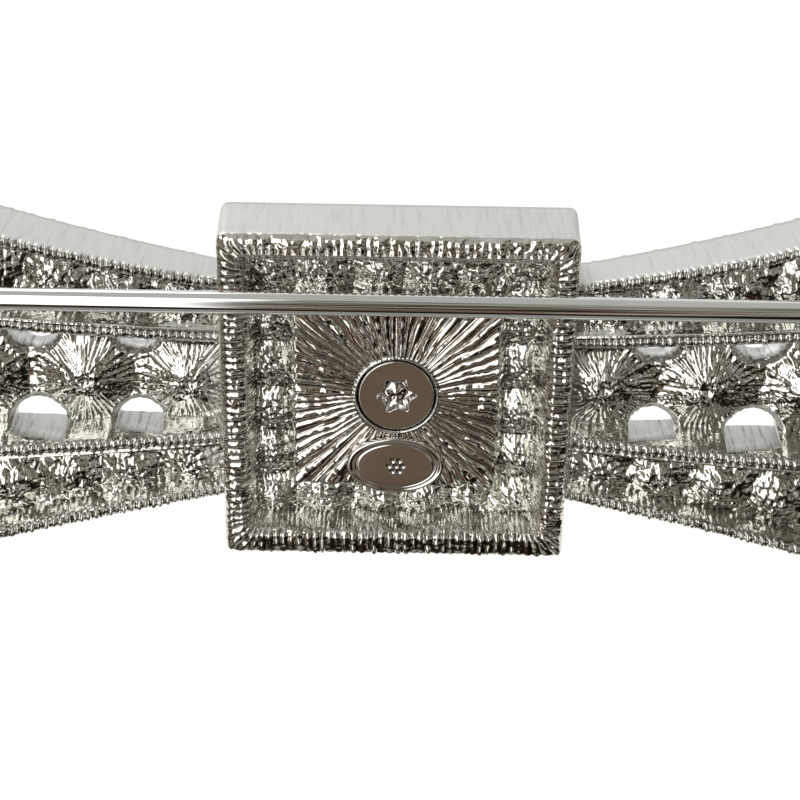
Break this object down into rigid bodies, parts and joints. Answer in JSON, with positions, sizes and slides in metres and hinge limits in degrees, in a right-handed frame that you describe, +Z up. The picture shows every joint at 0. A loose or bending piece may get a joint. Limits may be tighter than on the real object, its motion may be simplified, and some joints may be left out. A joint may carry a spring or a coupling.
{
  "type": "bow brooch",
  "caption": "Crystal-set bow brooch with a square knot box, two flared pierced wings, a hinged pin stem and a rotating safety catch.",
  "frame": {"origin": "on the pin stem's centreline, level with the middle of the bow, where the cloth holds the brooch", "axes": "+X across the bow from the pin's hinge to its catch, +Y out of the brooch's back, +Z up as worn"},
  "size_m": [0.08, 0.0117, 0.0268],
  "materials": {
    "cast_metal": "satin rhodium-tone plate on a casting, scratch-brushed on the side walls, bright and lumpy on the back",
    "polished_metal": "polished silver-tone plate",
    "plate_metal": "polished and slightly domed, with a plain engraved border",
    "crystal": "clear faceted lead-type crystal, foiled behind"
  },
  "bodies": {
    "brooch": {"catch_base": "polished_metal", "catch_side_end_crystal_1": "crystal", "catch_side_end_crystal_2": "crystal", "catch_side_end_crystal_3": "crystal", "catch_side_end_crystal_4": "crystal", "catch_side_end_crystal_5": "crystal", "catch_side_large_crystal_1": "crystal", "catch_side_large_crystal_2": "crystal", "catch_side_large_crystal_3": "crystal", "catch_side_large_crystal_4": "crystal", "catch_side_lower_band_crystal_1": "crystal", "catch_side_lower_band_crystal_2": "crystal", "catch_side_lower_band_crystal_3": "crystal", "catch_side_lower_band_crystal_4": "crystal", "catch_side_lower_band_crystal_5": "crystal", "catch_side_lower_band_crystal_6": "crystal", "catch_side_upper_band_crystal_1": "crystal", "catch_side_upper_band_crystal_2": "crystal", "catch_side_upper_band_crystal_3": "crystal", "catch_side_upper_band_crystal_4": "crystal", "catch_side_upper_band_crystal_5": "crystal", "catch_side_upper_band_crystal_6": "crystal", "centre_collet": "cast_metal", "centre_crystal": "crystal", "clamp_screw": "polished_metal", "hinge_base": "polished_metal", "hinge_rivet": "polished_metal", "hinge_side_end_crystal_1": "crystal", "hinge_side_end_crystal_2": "crystal", "hinge_side_end_crystal_3": "crystal", "hinge_side_end_crystal_4": "crystal", "hinge_side_end_crystal_5": "crystal", "hinge_side_large_crystal_1": "crystal", "hinge_side_large_crystal_2": "crystal", "hinge_side_large_crystal_3": "crystal", "hinge_side_large_crystal_4": "crystal", "hinge_side_lower_band_crystal_1": "crystal", "hinge_side_lower_band_crystal_2": "crystal", "hinge_side_lower_band_crystal_3": "crystal", "hinge_side_lower_band_crystal_4": "crystal", "hinge_side_lower_band_crystal_5": "crystal", "hinge_side_lower_band_crystal_6": "crystal", "hinge_side_upper_band_crystal_1": "crystal", "hinge_side_upper_band_crystal_2": "crystal", "hinge_side_upper_band_crystal_3": "crystal", "hinge_side_upper_band_crystal_4": "crystal", "hinge_side_upper_band_crystal_5": "crystal", "hinge_side_upper_band_crystal_6": "crystal", "knot_box": "cast_metal", "maker_plate": "plate_metal", "ring_crystals_bottom": "crystal", "ring_crystals_left": "crystal", "ring_crystals_right": "crystal", "ring_crystals_top": "crystal", "wing_catch_side": "cast_metal", "wing_hinge_side": "cast_metal"},
    "pin": {"pin_stem": "polished_metal"},
    "rotor": {"catch_rotor": "polished_metal"}
  },
  "joints": [
    {"name": "pin_hinge", "type": "hinge", "parent": "brooch", "child": "pin", "pos_m": [-0.033, 0, 0], "axis": [0, 0, 1], "range_deg": [0, 95]},
    {"name": "catch_turn", "type": "hinge", "parent": "brooch", "child": "rotor", "pos_m": [0.033, 0, 0], "axis": [-1, 0, 0], "range_deg": [0, 110]}
  ]
}
